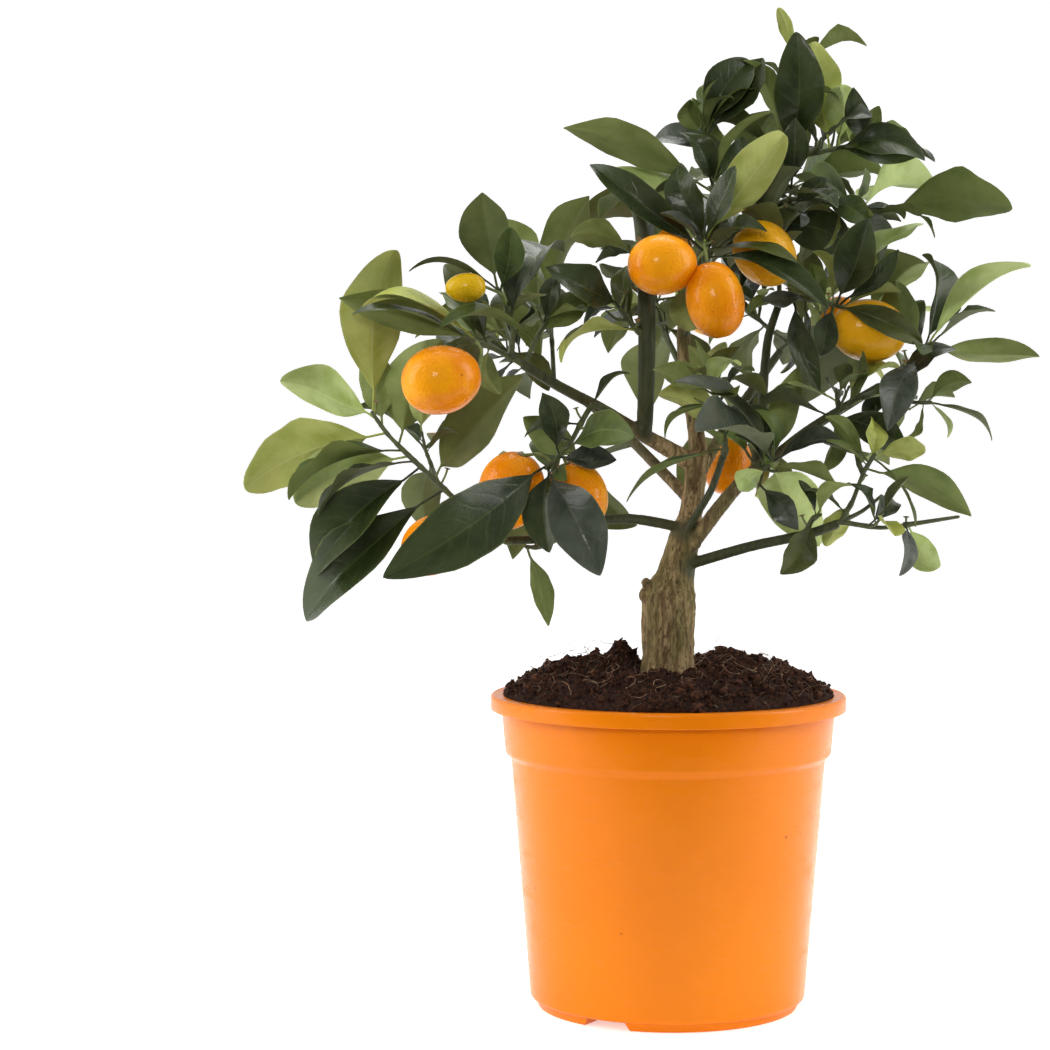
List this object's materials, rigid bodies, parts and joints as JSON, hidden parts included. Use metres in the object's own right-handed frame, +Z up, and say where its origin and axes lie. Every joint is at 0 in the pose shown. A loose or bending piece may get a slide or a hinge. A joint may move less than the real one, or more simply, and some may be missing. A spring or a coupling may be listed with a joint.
{
  "type": "potted citrus tree",
  "caption": "Small calamondin orange tree with oval orange fruit, grown as a short standard with an open leafy crown, in a round orange plastic pot filled with dark soil.",
  "frame": {"origin": "centre of the pot's flat underside, on the pot's axis", "axes": "+Z up the tree, +X to the right as the tree is seen from its front, +Y towards its back"},
  "size_m": [0.424, 0.3057, 0.5325],
  "materials": {
    "pot": "gloss",
    "soil": "matte",
    "bark": "matte",
    "foliage": "satin"
  },
  "bodies": {
    "root": {"pot": "pot", "soil": "soil", "trunk": "bark", "bough_left": "bark", "bough_pruned": "bark", "bough_leader": "bark", "bough_right": "bark", "bough_middle": "bark", "bough_low_right": "bark", "bough_low_left": "bark", "bough_front": "bark", "bough_back_left": "bark", "bough_back_right": "bark", "bough_back_top": "bark", "foliage_left": "foliage", "foliage_far_left": "foliage", "foliage_inner_left": "foliage", "foliage_low_left": "foliage", "foliage_pruned_side": "foliage", "foliage_pruned_top": "foliage", "foliage_upper_left": "foliage", "foliage_top": "foliage", "foliage_top_right": "foliage", "foliage_middle_right": "foliage", "foliage_right": "foliage", "foliage_low_right": "foliage", "foliage_right_inner": "foliage", "foliage_low_front": "foliage", "foliage_centre": "foliage", "foliage_front": "foliage", "foliage_back_left": "foliage", "foliage_back_centre": "foliage", "foliage_back_low": "foliage", "foliage_back_right": "foliage", "foliage_back_top": "foliage", "foliage_back_middle": "foliage"}
  },
  "joints": []
}
